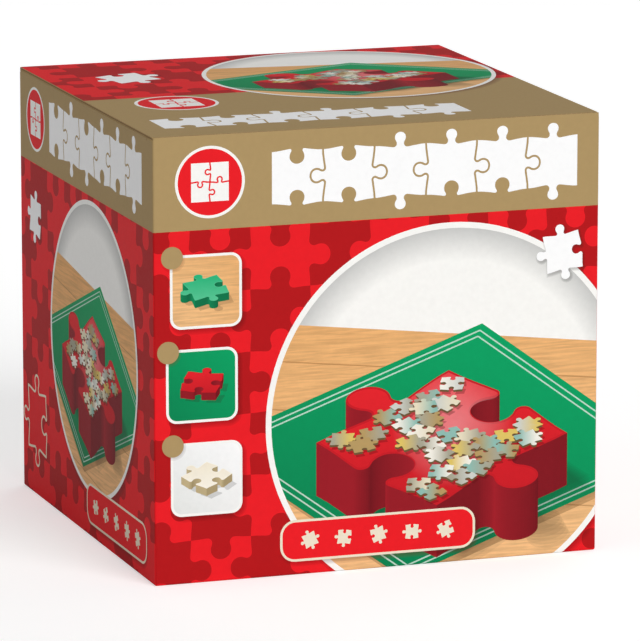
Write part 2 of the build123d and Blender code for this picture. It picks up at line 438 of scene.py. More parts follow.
def round_picture(centre, radius, seed):
    """A round picture: a green mat with pale lines on a wooden table before a white wall, and on
    it one thick red jigsaw piece with small pieces strewn over it. All of it is cut to the disc.
    Circles that hide nothing only cut the sheet finer, where a colour fades."""
    middle = np.array(centre, float)
    unit = radius / picture_unit
    disc = ink(circle(middle, radius), paper_white)
    areas = soft_shadow(lambda grow: circle(middle + [1.5, -2.0], radius + 2.0 + grow),
                        spread=1.6, cover=0.55)
    areas += [ink(circle(middle, radius + 2.2 * unit), paper_white), disc]
    areas += [ink(circle(middle, radius - step * unit), paper_white, cover=0.0)
              for step in (12.0, 8.0, 4.0, 1.5)]
    edge_fade = (outward(middle, radius - 12 * unit, radius + 3 * unit), wall_shade, 0.55)
    areas.append(ink(circle(middle, radius), wall_shade, cover=0.0, fade=edge_fade, inside=disc))

    table = middle + unit * np.array(table_corners)
    table_fade = (toward(middle + [0, 34 * unit], middle - [0, 60 * unit]), wood_light, 1.0)
    areas.append(ink(table, wood_deep, fade=table_fade, inside=disc, grain=1.0))
    for left, right in plank_ends:
        ends = middle + unit * np.array([[-90, left], [90, right]])
        areas.append(ink(strip(*ends, 0.5 * unit), plank_joint, cover=0.55, inside=disc))

    corners = np.array(rectangle((-1, -1), (1, 1)))
    seat = middle + unit * np.array([-3, -9])
    mat_middle = seat + unit * np.array([0, -5])
    mat = mat_middle + unit * (mat_half * corners @ slant_view.T)
    mat_fade = (toward(mat[2], mat[0]), green_deep, 1.0)
    areas += [ink(mat + unit * np.array([1.5, -2.2]), mat_shadow, cover=0.45, inside=disc),
              ink(mat, green_light, fade=mat_fade, inside=disc)]
    for reach in mat_lines:
        frame_line = mat_middle + unit * (reach * corners @ slant_view.T)
        areas += [ink(strip(frame_line[k], frame_line[k - 3], 0.55 * unit), mat_line, cover=0.8,
                      inside=disc) for k in range(4)]

    size = large_size * unit
    for step in np.linspace(1.0, 0.7, 6):
        place = seat + step * unit * large_cast
        areas.append(ink(jigsaw_cell(large_sides, place, size, large_turn, slant_view),
                         piece_shadow, cover=0.11, inside=disc))
    areas += standing_cell(large_sides, seat, size, large_turn, large_height * unit, red_piece,
                           inside=disc)
    top = ink(jigsaw_cell(large_sides, seat, size * 0.97, large_turn, slant_view), red_bright,
              cover=0.0, inside=disc)
    shine_middle, reach = seat + unit * np.array([4, 5]), shine_radius * unit
    shine_fade = (outward(shine_middle, 0, reach), shine, 0.0)
    areas.append(top)
    areas += [ink(circle(shine_middle, reach * step, 48), paper_white, cover=0.0)
              for step in (0.25, 0.5, 0.75)]
    areas.append(ink(circle(shine_middle, reach, 48), shine, cover=0.55, fade=shine_fade,
                     inside=top))
    return areas + loose_cells(seat, size, large_turn, loose_count, loose_size * unit, seed, disc)


tile_shadow = "#201008"
tile_corner, tile_inner_corner = 5.0, 3.9
tile_border = 1.2
tile_piece_height = 3.4
badge_radius = 5.0
wood_ground = (wood_light, wood_deep)
green_ground = (green_deep, green_light)
white_ground = ("#e4e7e4", blank_white)


def picture_tile(centre, half, ground, piece, seed, grain=0.0):
    """A small square picture with a white border, a soft shadow, one thick piece on its ground,
    and a tan dot at its upper left corner. ground is its lower left and upper right colour."""
    middle = np.array(centre, float)
    cast = middle + [1.0, -1.4]
    areas = soft_shadow(lambda grow: rounded_box(cast - half - grow, cast + half + grow,
                                                 tile_corner + grow), spread=1.2, cover=0.55)
    inner = half - tile_border
    field = ink(rounded_box(middle - inner, middle + inner, tile_inner_corner), ground[0],
                fade=(toward(middle - half, middle + half), ground[1], 1.0), grain=grain)
    areas += [ink(rounded_box(middle - half, middle + half, tile_corner), paper_white), field]
    chance = np.random.default_rng(seed)
    sides, turn, size = chance.choice([-1, 1], 4), 0.3 + seed, half * 0.98
    shadow = jigsaw_cell(sides, middle + [2.2, -3.2], size, turn, slant_view)
    areas.append(ink(shadow, tile_shadow, cover=0.3, inside=field))
    areas += standing_cell(sides, middle + [0, 1.5], size, turn, tile_piece_height, piece, field)
    badge = middle + [-half + 1.0, half - 1.0]
    areas += soft_shadow(lambda grow: circle(badge + [0.4, -0.7], badge_radius + grow, 40),
                         spread=0.7, cover=0.4, steps=3)
    return areas + [ink(circle(badge, badge_radius, 40), tan)]


cell_shadow = "#2a2018"


def white_cell(sides, centre, size, turn):
    """A blank white jigsaw piece with a soft grey shadow."""
    outline = jigsaw_cell(sides, centre, size, turn)
    areas = [ink(inset(outline, -grow) + [0.5, -0.7], cell_shadow, cover=0.16)
             for grow in (0.9, 0.5, 0.1)]
    return areas + [ink(outline, blank_white)]


row_gap_half = 0.45          # half the tan line that shows between two pieces of a row
row_cell = 24
row_count = 6


def linked_row(low, seed):
    """A row of white jigsaw pieces that lock into each other, with a thin tan gap between them.
    low is the lower left corner of the first."""
    chance = np.random.default_rng(seed)
    joints = chance.choice([-1, 1], row_count + 1)
    joints[0] = joints[-1] = 0
    areas = []
    for k in range(row_count):
        sides = (chance.choice([-1, 1]), joints[k + 1], chance.choice([-1, 1]), -joints[k])
        centre = np.array([low[0] + (k + 0.5) * row_cell, low[1] + 0.5 * row_cell])
        areas.append(ink(inset(jigsaw_cell(sides, centre, row_cell), row_gap_half), blank_white))
    return areas


emblem_cells = (((-1, -1), (0, 1, -1, 0)), ((1, -1), (0, 0, 1, -1)),
                ((1, 1), (-1, 0, 0, 1)), ((-1, 1), (1, -1, 0, 0)))


def emblem(centre, radius):
    """A red disc with a white ring, and on it four white jigsaw cells that lock into a square."""
    middle = np.array(centre, float)
    cell = radius * 0.56
    areas = [ink(circle(middle, radius), paper_white),
             ink(circle(middle, radius * 0.92), red_bright)]
    for toward_corner, sides in emblem_cells:
        spot = middle + cell / 2 * np.array(toward_corner)
        areas.append(ink(inset(jigsaw_cell(sides, spot, cell), radius * 0.022), paper_white))
    return areas


banner_low, banner_high = 6.0, 25.0
banner_corner = 7.0
banner_border = 1.1
banner_cell = 6.2
banner_count = 5
banner_margin = 14.0         # from each end of the banner to the middle of its nearest piece


def banner(left, right, seed):
    """A rounded red banner with a cream border and a row of small cream jigsaw pieces."""
    low, high = np.array([left, banner_low]), np.array([right, banner_high])
    chance = np.random.default_rng(seed)
    cast = np.array([0.8, -1.2])
    areas = soft_shadow(lambda grow: rounded_box(low - grow + cast, high + grow + cast,
                                                 banner_corner + grow), spread=1.0, cover=0.5)
    areas += [ink(rounded_box(low, high, banner_corner), cream),
              ink(rounded_box(low + banner_border, high - banner_border,
                              banner_corner - banner_border), red_bright)]
    for x in np.linspace(left + banner_margin, right - banner_margin, banner_count):
        sides, turn = chance.choice([-1, 1], 4), chance.uniform(-0.4, 0.4)
        middle = (x, (banner_low + banner_high) / 2)
        areas.append(ink(jigsaw_cell(sides, middle, banner_cell, turn), cream))
    return areas


cut_tolerance = 1e-6         # millimetres: closer points on the flat sheet are one


def partition(sheet, folds, inks):
    """Cuts a flat sheet along its fold lines and the outlines of its printed areas into triangles
    (a constrained Delaunay triangulation). Each corner of each triangle then gets its colour and
    its wood value by laying the areas that cover the triangle over each other in order:
    new = old * (1 - cover) + area * cover."""
    loops = [np.asarray(sheet, float)] + [area["outline"] for area in inks]
    starts = np.cumsum([0] + [len(loop) for loop in loops])
    faces = [list(range(first, last)) for first, last in zip(starts[:-1], starts[1:])]
    ends = np.asarray(folds, float).reshape(-1, 2)
    edges = [(starts[-1] + k, starts[-1] + k + 1) for k in range(0, len(ends), 2)]
    corners = [Vector(point) for point in np.concatenate(loops + [ends])]
    points, _, triangles, _, _, owners = delaunay_2d_cdt(corners, edges, faces, 1, cut_tolerance)
    points = np.array([tuple(point) for point in points])
    owned = np.repeat(np.arange(len(owners)), [len(owner) for owner in owners])
    covered = np.zeros((len(owners), len(loops)), bool)
    covered[owned, np.concatenate(owners).astype(int)] = True
    kept = covered[:, 0]
    triangles, covered = np.array(triangles)[kept], covered[kept]
    column = {id(area): k + 1 for k, area in enumerate(inks)}
    place = points[triangles]
    colours = np.ones(place.shape[:2] + (4,))
    grains = np.zeros(place.shape[:2])
    for k, area in enumerate(inks):
        chosen = covered[:, k + 1] & covered[:, column.get(id(area["inside"]), 0)]
        share = area["share"](place[chosen])[..., None] if area["share"] else 0.0
        tone = area["start"] + area["change"] * share
        cover = np.broadcast_to(tone[..., 3:], place[chosen].shape[:2] + (1,))
        colours[chosen, :, :3] = colours[chosen, :, :3] * (1 - cover) + tone[..., :3] * cover
        grains[chosen] = grains[chosen] * (1 - cover[..., 0]) + area["grain"] * cover[..., 0]
    return points, triangles, colours, grains


shortest = 1e-12             # guards a division where a face has no area


def face_normals(corners):
    """The unit normal of each flat face with corners a, b ... z: (b - a) x (z - a) over its
    length."""
    normals = np.cross(corners[:, 1] - corners[:, 0], corners[:, -1] - corners[:, 0])
    return normals / np.maximum(np.linalg.norm(normals, axis=1, keepdims=True), shortest)


def build_sheet(name, sheet, folds, inks, wrap, materials):
    """A printed piece of board as one closed mesh. wrap turns flat points into outer places, outer
    normals and inner places. The triangles are used twice, outside and (turned over) inside, and
    the cut edge joins the two. The edge's own map runs along the flutes and through the board."""
    points, triangles, colours, grains = partition(sheet, folds, inks)
    used, flat = np.unique(triangles, return_inverse=True)
    triangles = flat.reshape(triangles.shape)
    points = points[used]
    count = len(points)
    outer, normals, inner = wrap(points)
    places = np.concatenate([outer, inner])
    heading = np.concatenate([triangles[:, [0, 1]], triangles[:, [1, 2]], triangles[:, [2, 0]]])
    key, back_key = heading @ [count, 1], heading @ [1, count]
    rim = heading[~np.isin(key, back_key)]
    quads = np.stack([rim[:, 0], rim[:, 0] + count, rim[:, 1] + count, rim[:, 1]], 1)
    turned_over = triangles[:, ::-1]
    faces = triangles.tolist() + (turned_over + count).tolist() + quads.tolist()
    mesh = bpy.data.meshes.new(name)
    mesh.from_pydata((places * millimetre).tolist(), [], faces)
    face_count = len(triangles)
    slots = np.repeat([0, 1, 2], [face_count, face_count, len(quads)])
    mesh.polygons.foreach_set("material_index", slots.astype(np.int32))
    mesh.polygons.foreach_set("use_smooth", np.ones(len(faces), bool))
    corner_colours = np.ones((len(mesh.loops), 4))
    corner_colours[:3 * face_count] = colours.reshape(-1, 4)
    print_layer = mesh.attributes.new("print", "FLOAT_COLOR", "CORNER")
    print_layer.data.foreach_set("color", corner_colours.ravel())
    corner_grain = np.zeros(len(mesh.loops))
    corner_grain[:3 * face_count] = grains.ravel()
    mesh.attributes.new("grain", "FLOAT", "CORNER").data.foreach_set("value", corner_grain)
    depth = np.tile([0.0, board, board, 0.0], len(quads))
    flat_map = np.concatenate([
        points[triangles].reshape(-1, 2),
        points[turned_over].reshape(-1, 2),
        np.stack([points[quads % count, 0].ravel(), depth], 1),
    ])
    mesh.uv_layers.new(name="sheet").data.foreach_set("uv", flat_map.ravel() * millimetre)
    mesh.normals_split_custom_set(np.concatenate([
        normals[triangles].reshape(-1, 3),
        np.repeat(face_normals(places[turned_over + count]), 3, 0),
        np.repeat(face_normals(places[quads]), 4, 0),
    ]).tolist())
    for material in materials:
        mesh.materials.append(material)
    piece = bpy.data.objects.new(name, mesh)
    bpy.context.scene.collection.objects.link(piece)
    return piece


wall_core = carton_half - crease_round          # where a wall's straight part ends
sheet_half = wall_core + crease_round * corner_bend
sheet_base = crease_round * (1 - base_bend)


def wall_wrap(right, out):
    """The map of a wall's sheet, where right and out are the wall's own directions. Past its
    straight part the sheet turns by length over radius, so that each wall takes half of each
    upright corner, and at the base it turns under the same way. An outer point is the straight
    core plus the radius times its normal. Inside, the sheet is flat, up to the inner corners."""
    def wrap(points):
        across, up = points.T
        turn = np.clip(np.abs(across) - wall_core, 0, None) / crease_round * np.sign(across)
        under = np.clip(crease_round - up, 0, None) / crease_round
        normal = np.stack([np.sin(turn) * np.cos(under), np.cos(turn) * np.cos(under),
                           -np.sin(under)], 1)
        core = np.stack([np.clip(across, -wall_core, wall_core), np.full_like(up, wall_core),
                         np.maximum(up, crease_round)], 1)
        inside = np.stack([across * inner_half / sheet_half, np.full_like(up, inner_half),
                           (up - sheet_base) * up.max() / (up.max() - sheet_base)], 1)
        axes = np.array([right, out, (0.0, 0.0, 1.0)])
        return (core + crease_round * normal) @ axes, normal @ axes, inside @ axes
    return wrap


def wall_folds(top):
    """The lines that let a wall's sheet bend: both upright corners and the base."""
    bends = np.linspace(wall_core, sheet_half, bend_steps + 1)[:-1]
    lines = [[(side * a, sheet_base), (side * a, top)] for a in bends for side in (-1, 1)]
    for b in np.linspace(sheet_base, crease_round, bend_steps + 1)[1:]:
        lines.append([(-sheet_half, b), (sheet_half, b)])
    return lines


print_board, tree, output = new_material("varnished_litho_print_on_board")
# Offset ink on coated paper under a satin varnish: even, slightly mottled colour and a soft, wide
# gloss. Through the thin paper the flutes show as a very faint washboard: a wave texture that
# repeats every pi / 10, over its scale. Printed wood has long, thin streaks.
wave_scale = round(np.pi / 10 / (flute_pitch * millimetre))
coordinates = add_node(tree, "ShaderNodeTexCoord").outputs["Object"]
sheet_map = add_node(tree, "ShaderNodeUVMap", {"uv_map": "sheet"}).outputs[0]
ink_colour = add_node(tree, "ShaderNodeAttribute", {"attribute_name": "print"})
wood_mask = add_node(tree, "ShaderNodeAttribute", {"attribute_name": "grain"})
mottle = add_node(tree, "ShaderNodeTexNoise", Vector=coordinates, Scale=420.0, Detail=3.0)
mottle_range = add_node(tree, "ShaderNodeMapRange", Value=mottle.outputs[0],
                        From_Min=0.25, From_Max=0.75, To_Min=0.975, To_Max=1.02)
grain_space = add_node(tree, "ShaderNodeMapping", Vector=sheet_map,
                       Rotation=(0.0, 0.0, 0.12), Scale=(55.0, 850.0, 1.0))
grain_noise = add_node(tree, "ShaderNodeTexNoise", Vector=grain_space.outputs[0],
                       Scale=1.0, Detail=4.0, Distortion=0.6)
grain_tone = add_node(tree, "ShaderNodeMapRange", Value=grain_noise.outputs[0],
                      From_Min=0.35, From_Max=0.65, To_Min=0.82, To_Max=1.05)
grain_mix = add_node(tree, "ShaderNodeMix", {"data_type": "FLOAT"},
                     Factor=wood_mask.outputs["Fac"], _2=1.0, _3=grain_tone.outputs[0])
tone = add_node(tree, "ShaderNodeMath", {"operation": "MULTIPLY"},
                _0=mottle_range.outputs[0], _1=grain_mix.outputs[0])
toned = add_node(tree, "ShaderNodeVectorMath", {"operation": "SCALE"},
                 _0=ink_colour.outputs["Color"], Scale=tone.outputs[0])
flute_wave = add_node(tree, "ShaderNodeTexWave", {"wave_type": "BANDS", "bands_direction": "X"},
                      Vector=sheet_map, Scale=wave_scale)
peel = add_node(tree, "ShaderNodeTexNoise", Vector=coordinates, Scale=900.0, Detail=2.0)
relief = add_node(tree, "ShaderNodeMath", {"operation": "MULTIPLY_ADD"},
                  _0=flute_wave.outputs[1], _1=0.25, _2=peel.outputs[0])
bump = add_node(tree, "ShaderNodeBump", Strength=0.10, Distance=0.00004, Height=relief.outputs[0])
rough = add_node(tree, "ShaderNodeMapRange", Value=peel.outputs[0], To_Min=0.44, To_Max=0.54)
board_shader = add_node(tree, "ShaderNodeBsdfPrincipled", Base_Color=toned.outputs[0],
                        Roughness=rough.outputs[0], IOR=1.47, Specular_IOR_Level=0.10,
                        Normal=bump.outputs[0])
tree.links.new(board_shader.outputs[0], output.inputs[0])

kraft_liner, tree, output = new_material("uncoated_kraft_liner")
# Unbleached kraft paper, the inside of the board: dull brown with short pale and dark fibres.
coordinates = add_node(tree, "ShaderNodeTexCoord").outputs["Object"]
fibre_space = add_node(tree, "ShaderNodeMapping", Vector=coordinates, Scale=(900.0, 420.0, 900.0))
fibres = add_node(tree, "ShaderNodeTexNoise", Vector=fibre_space.outputs[0],
                  Scale=1.0, Detail=5.0, Roughness=0.65)
fibre_colour = add_node(tree, "ShaderNodeValToRGB", Fac=fibres.outputs[0])
fibre_colour.color_ramp.elements[0].position = 0.30
fibre_colour.color_ramp.elements[0].color = linear_colour("#ac8c63")
fibre_colour.color_ramp.elements[1].position = 0.70
fibre_colour.color_ramp.elements[1].color = linear_colour("#c6a87e")
fibre_bump = add_node(tree, "ShaderNodeBump", Strength=0.35, Distance=0.0001,
                      Height=fibres.outputs[0])
liner_shader = add_node(tree, "ShaderNodeBsdfPrincipled", Base_Color=fibre_colour.outputs[0],
                        Roughness=0.88, IOR=1.45, Specular_IOR_Level=0.2,
                        Normal=fibre_bump.outputs[0])
tree.links.new(liner_shader.outputs[0], output.inputs[0])

cut_flute, tree, output = new_material("cut_edge_of_fluted_board")
# A knife-cut edge: two thin liners with the wave of the flute between them. The open hollows
# between flute and liners get a darker brown, which is painted shade for the shade inside them.
# The map runs along the edge in x and through the board in y, from 0 outside.
board_depth = board * millimetre
flute_paper_half = 0.00016   # half the flute's paper, as thick as a knife leaves it
edge_map = add_node(tree, "ShaderNodeSeparateXYZ",
                    Vector=add_node(tree, "ShaderNodeUVMap", {"uv_map": "sheet"}).outputs[0])
phase = add_node(tree, "ShaderNodeMath", {"operation": "MULTIPLY"},
                 _0=edge_map.outputs[0], _1=2 * np.pi / (flute_pitch * millimetre))
wave = add_node(tree, "ShaderNodeMath", {"operation": "SINE"}, _0=phase.outputs[0])
wave_line = add_node(tree, "ShaderNodeMath", {"operation": "MULTIPLY_ADD"},
                     _0=wave.outputs[0], _1=0.33 * board_depth, _2=0.5 * board_depth)
off_wave = add_node(tree, "ShaderNodeMath", {"operation": "SUBTRACT"},
                    _0=edge_map.outputs[1], _1=wave_line.outputs[0])
off_wave_size = add_node(tree, "ShaderNodeMath", {"operation": "ABSOLUTE"}, _0=off_wave.outputs[0])
off_middle = add_node(tree, "ShaderNodeMath", {"operation": "SUBTRACT"},
                      _0=edge_map.outputs[1], _1=0.5 * board_depth)
off_middle_size = add_node(tree, "ShaderNodeMath", {"operation": "ABSOLUTE"},
                           _0=off_middle.outputs[0])
in_hollow = add_node(tree, "ShaderNodeMath", {"operation": "GREATER_THAN"},
                     _0=off_wave_size.outputs[0], _1=flute_paper_half)
in_core = add_node(tree, "ShaderNodeMath", {"operation": "LESS_THAN"},
                   _0=off_middle_size.outputs[0], _1=0.36 * board_depth)
painted_hollow_shade = add_node(tree, "ShaderNodeMath", {"operation": "MULTIPLY"},
                  _0=in_hollow.outputs[0], _1=in_core.outputs[0])
# Painted shade: the flute's open hollows are coloured darker than its paper.
edge_colour = add_node(tree, "ShaderNodeMix", {"data_type": "RGBA"}, Factor=painted_hollow_shade.outputs[0],
                       _6=linear_colour("#bb9c6e"), _7=linear_colour("#8d7350"))
edge_shader = add_node(tree, "ShaderNodeBsdfPrincipled", Base_Color=edge_colour.outputs[2],
                       Roughness=0.9, IOR=1.45, Specular_IOR_Level=0.2)
tree.links.new(edge_shader.outputs[0], output.inputs[0])
board_finish = (print_board, kraft_liner, cut_flute)

cell_size = 2 * carton_half / 7.5
band_low = 0.791 * wall_top
row_low = band_low + 9
row_middle = row_low + row_cell / 2
bleed = 4.0                  # how far a printed ground runs past the sheet's edges
sheet_over = carton_half + bleed
field_low = (-carton_half - 0.4 * cell_size, -0.3 * cell_size)
wall_ground = rectangle((-sheet_over, -bleed), (sheet_over, wall_top + bleed))
tan_band = rectangle((-sheet_over, band_low), (sheet_over, wall_top + bleed))


def red_field(seed):
    """The two-tone jigsaw field of a wall, up to where the tan band covers it."""
    return [ink(wall_ground, red_bright)] + jigsaw_field(field_low, (sheet_over, band_low),
                                                         cell_size, seed)


front_inks = red_field(seed=3)
front_inks += round_picture(centre=(34, 68), radius=84, seed=5)
front_inks += [ink(tan_band, tan)]
front_inks += picture_tile(centre=(-80, 131), half=16.5, ground=wood_ground, piece=green_piece,
                           seed=1, grain=1.0)
front_inks += picture_tile(centre=(-82, 89), half=16.5, ground=green_ground, piece=red_piece,
                           seed=2)
front_inks += picture_tile(centre=(-80, 47), half=16.5, ground=white_ground, piece=cream_piece,
                           seed=3)
front_inks += emblem(centre=(-78, row_middle), radius=16)
front_inks += linked_row(low=(-50, row_low), seed=11)
front_inks += white_cell(sides=(1, -1, 1, 1), centre=(87, 138), size=17, turn=0.14)
front_inks += banner(left=-46, right=46, seed=4)
front_sheet = rectangle((-sheet_half, sheet_base), (sheet_half, wall_top))
front_wall = build_sheet("front_wall", front_sheet, wall_folds(wall_top), front_inks,
                         wall_wrap(right=(1.0, 0.0, 0.0), out=(0.0, -1.0, 0.0)), board_finish)
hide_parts("front_panel")
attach(front_wall, "carton")


# ---------------------------------------------------------------------------------------------
# Left and right walls. The same sheet, turned a quarter: lower by one board where a dust flap
# folds over the top, and full height in front of it. Each has a smaller round picture.
# ---------------------------------------------------------------------------------------------
side_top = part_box("left_panel")[1][2] / millimetre
slot_top = side_top - board
slot_clearance = 0.3
ear_start = -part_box("left_dust_flap")[0][1] / millimetre + slot_clearance


def side_sheet(front_side):
    """A side wall's outline; front_side is 1 where the carton's front is to the right, or -1."""
    outline = np.array([(-sheet_half, sheet_base), (sheet_half, sheet_base), (sheet_half, side_top),
                        (ear_start, side_top), (ear_start, slot_top), (-sheet_half, slot_top)])
    return outline if front_side > 0 else (outline * [-1, 1])[::-1]


def side_inks(front_side, row_left, seed):
    """The print of a side wall: the motifs keep their order from the carton's front backwards."""
    large_cell = jigsaw_cell(sides=(1, -1, 1, 1), centre=(-80 * front_side, 36), size=30)
    areas = red_field(seed)
    areas += round_picture(centre=(12 * front_side, 88), radius=66, seed=seed)
    areas += [ink(tan_band, tan)]
    areas += emblem(centre=(-78 * front_side, row_middle), radius=15)
    areas += linked_row(low=(row_left, row_low), seed=seed)
    areas += white_cell(sides=(1, -1, 1, 1), centre=(-80 * front_side, 133), size=17, turn=-0.12)
    areas += [ink(large_cell, cream), ink(inset(large_cell, banner_border), red_bright)]
    return areas + banner(*sorted((0, 92 * front_side)), seed=seed)


left_wall = build_sheet("left_wall", side_sheet(1), wall_folds(slot_top),
                        side_inks(front_side=1, row_left=-56, seed=21),
                        wall_wrap(right=(0.0, -1.0, 0.0), out=(-1.0, 0.0, 0.0)), board_finish)
right_wall = build_sheet("right_wall", side_sheet(-1), wall_folds(slot_top),
                         side_inks(front_side=-1, row_left=-88, seed=34),
                         wall_wrap(right=(0.0, 1.0, 0.0), out=(1.0, 0.0, 0.0)), board_finish)
for wall, node in ((left_wall, "left_panel"), (right_wall, "right_panel")):
    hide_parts(node)
    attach(wall, "carton")


# ---------------------------------------------------------------------------------------------
# Back wall. The lid folds from its top. It carries a bare white panel with small pictures, where
# such cartons have their notes.
# ---------------------------------------------------------------------------------------------
back_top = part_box("back_panel")[1][2] / millimetre
panel_corner = 9.0
tile_looks = ((green_ground, red_piece, 0.0), (wood_ground, green_piece, 1.0),
              (white_ground, cream_piece, 0.0))
tile_centres = [(x, y) for y in (120, 66) for x in (-56, 0, 56)]
back_inks = red_field(seed=55)
back_inks += [ink(tan_band, tan)]
back_inks += soft_shadow(lambda grow: rounded_box((-86 - grow, 34 - grow), (87 + grow, 148 + grow),
                                                  panel_corner + grow), spread=1.4, cover=0.55)
back_inks += [ink(rounded_box((-87, 36), (86, 149.5), panel_corner), paper_white)]
for k, centre in enumerate(tile_centres):
    ground, piece, grain = tile_looks[(k + k // 3) % 3]
    back_inks += picture_tile(centre, half=20, ground=ground, piece=piece, seed=k + 4, grain=grain)
back_inks += linked_row(low=(-72, row_low), seed=8)
back_inks += banner(left=-46, right=46, seed=9)
back_sheet = rectangle((-sheet_half, sheet_base), (sheet_half, back_top))
back_wall = build_sheet("back_wall", back_sheet, wall_folds(back_top), back_inks,
                        wall_wrap(right=(-1.0, 0.0, 0.0), out=(0.0, 1.0, 0.0)), board_finish)
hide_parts("back_panel")
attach(back_wall, "carton")


# ---------------------------------------------------------------------------------------------
# Lid. The same board, creased at its rear to the back wall and at its front to the tuck flap.
# Its front half is printed tan, the rest in jigsaw cells, with a round picture across both.
# ---------------------------------------------------------------------------------------------
lid_low, lid_high = (np.array(corner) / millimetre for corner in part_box("lid_panel"))
lid_bend = np.radians(80.0)
lid_length = lid_high[1] - lid_low[1]
lid_width_half = lid_high[0]
lid_under = crease_round * (1 - lid_bend)       # where the lid's ends lie on the flat sheet


def lid_wrap(points):
    """The map of the lid's sheet: flat but for both ends, which turn down through lid_bend."""
    across, back = points.T
    front_turn = -np.clip(crease_round - back, 0, None) / crease_round
    rear_turn = np.clip(back - (lid_length - crease_round), 0, None) / crease_round
    turn = front_turn + rear_turn
    normal = np.stack([np.zeros_like(turn), np.sin(turn), np.cos(turn)], 1)
    straight = np.clip(back, crease_round, lid_length - crease_round)
    core = np.stack([across, lid_low[1] + straight,
                     np.full_like(turn, lid_high[2] - crease_round)], 1)
    share = (back - lid_under) / (lid_length - 2 * lid_under)
    inside = np.stack([across, lid_low[1] + share * lid_length,
                       np.full_like(turn, lid_low[2])], 1)
    return core + crease_round * normal, normal, inside


lid_sheet = rectangle((-lid_width_half, lid_under), (lid_width_half, lid_length - lid_under))
lid_bends = np.linspace(lid_under, crease_round, bend_steps + 1)[1:]
lid_folds = [[(-lid_width_half, b), (lid_width_half, b)]
             for b in (*lid_bends, *(lid_length - lid_bends))]
tan_depth = 103.0
lid_over = lid_length + bleed
lid_field_low = (field_low[0], tan_depth - 0.7 * cell_size)
lid_inks = [ink(rectangle((-sheet_over, -bleed), (sheet_over, lid_over)), red_bright)]
lid_inks += jigsaw_field(lid_field_low, (sheet_over, lid_over), cell_size, seed=13)
lid_inks += [ink(rectangle((-sheet_over, -bleed), (sheet_over, tan_depth)), tan)]
lid_inks += round_picture(centre=(34, 136), radius=66, seed=9)
lid_inks += linked_row(low=(-92, 20), seed=17)
lid_inks += emblem(centre=(-66, 84), radius=19)
lid_inks += white_cell(sides=(1, 1, -1, 1), centre=(-66, 158), size=22, turn=0.3)
lid = build_sheet("lid", lid_sheet, lid_folds, lid_inks, lid_wrap, board_finish)
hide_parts("lid_panel")
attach(lid, "lid")


# ---------------------------------------------------------------------------------------------
# Tuck flap. A strip of the same board with rounded ends, creased from the lid's front, which
# slips in behind the front wall. It is printed tan outside.
# ---------------------------------------------------------------------------------------------
tuck_slant = np.radians(6.5)
tuck_hinge = np.array([0.0, lid_low[1], lid_low[2]])
tuck_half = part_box("tuck_flap")[1][0] / millimetre
tuck_start, tuck_end = 0.16, 22.35              # down from the fold
tuck_corner = 12.0
tuck_corner_steps = 10


def tuck_wrap(points):
    """The map of the tuck flap: a plane through the lid's fold, slanting inwards as it drops."""
    across, down = points.T
    along = np.array([0.0, np.sin(tuck_slant), -np.cos(tuck_slant)])
    through = np.array([0.0, np.cos(tuck_slant), np.sin(tuck_slant)])
    outer = tuck_hinge - across[:, None] * np.array([1.0, 0.0, 0.0]) + down[:, None] * along
    return outer, np.tile(-through, (len(points), 1)), outer + board * through


# The flat flap: square corners at the fold, and a quarter circle at each end of its free edge.
turn = np.linspace(0, np.pi / 2, tuck_corner_steps)
right_end = np.stack([tuck_half - tuck_corner + tuck_corner * np.cos(turn),
                      tuck_end - tuck_corner + tuck_corner * np.sin(turn)], 1)
tuck_sheet = np.concatenate([[(-tuck_half, tuck_start), (tuck_half, tuck_start)],
                             right_end, right_end[::-1] * [-1, 1]])
tuck_inks = [ink(rectangle((-sheet_over, -bleed), (sheet_over, tuck_end + bleed)), tan)]
tuck = build_sheet("tuck", tuck_sheet, [], tuck_inks, tuck_wrap, board_finish)
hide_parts("tuck_flap")
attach(tuck, "tuck")


# ---------------------------------------------------------------------------------------------
# Dust flaps. One folds in over each side wall, under the lid. Their outside is bare white coated
# paper but for a strip of print that runs over the fold from the wall.
# ---------------------------------------------------------------------------------------------
dust_low, dust_high = (np.array(corner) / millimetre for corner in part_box("right_dust_flap"))
dust_reach = dust_high[0] - dust_low[0]
dust_front_end = dust_low[1] + dust_reach * np.tan(np.radians(8.0))
dust_rear_end = dust_high[1] - dust_reach * np.tan(np.radians(35.0))
dust_corner = 8.0
dust_round = 0.4
dust_strip = 7.0
root_gap = 0.02              # keeps the flap's root off the top of the wall
bend_end = dust_round * (1 - np.pi / 2)         # where the bend ends on the flat sheet
dust_start = bend_end - (board - dust_round) + root_gap


def dust_wrap(side):
    """The map of a dust flap: along runs with the fold, against the clock, and inwards from it. The
    fold turns through a right angle in a small round, and the sheet starts below that round."""
    def wrap(points):
        along, inwards = points.T
        turn = np.clip(dust_round - inwards, 0, np.pi / 2 * dust_round) / dust_round
        foot = np.clip(bend_end - inwards, 0, None)
        normal = np.stack([side * np.sin(turn), np.zeros_like(turn), np.cos(turn)], 1)
        reach = np.maximum(inwards, dust_round)
        core = np.stack([side * (dust_high[0] - reach), side * along,
                         dust_high[2] - dust_round - foot], 1)
        share = (inwards - dust_start) / (dust_reach - dust_start)
        inside = np.stack([side * (dust_high[0] - share * dust_reach), side * along,
                           np.full_like(turn, dust_low[2])], 1)
        return core + dust_round * normal, normal, inside
    return wrap


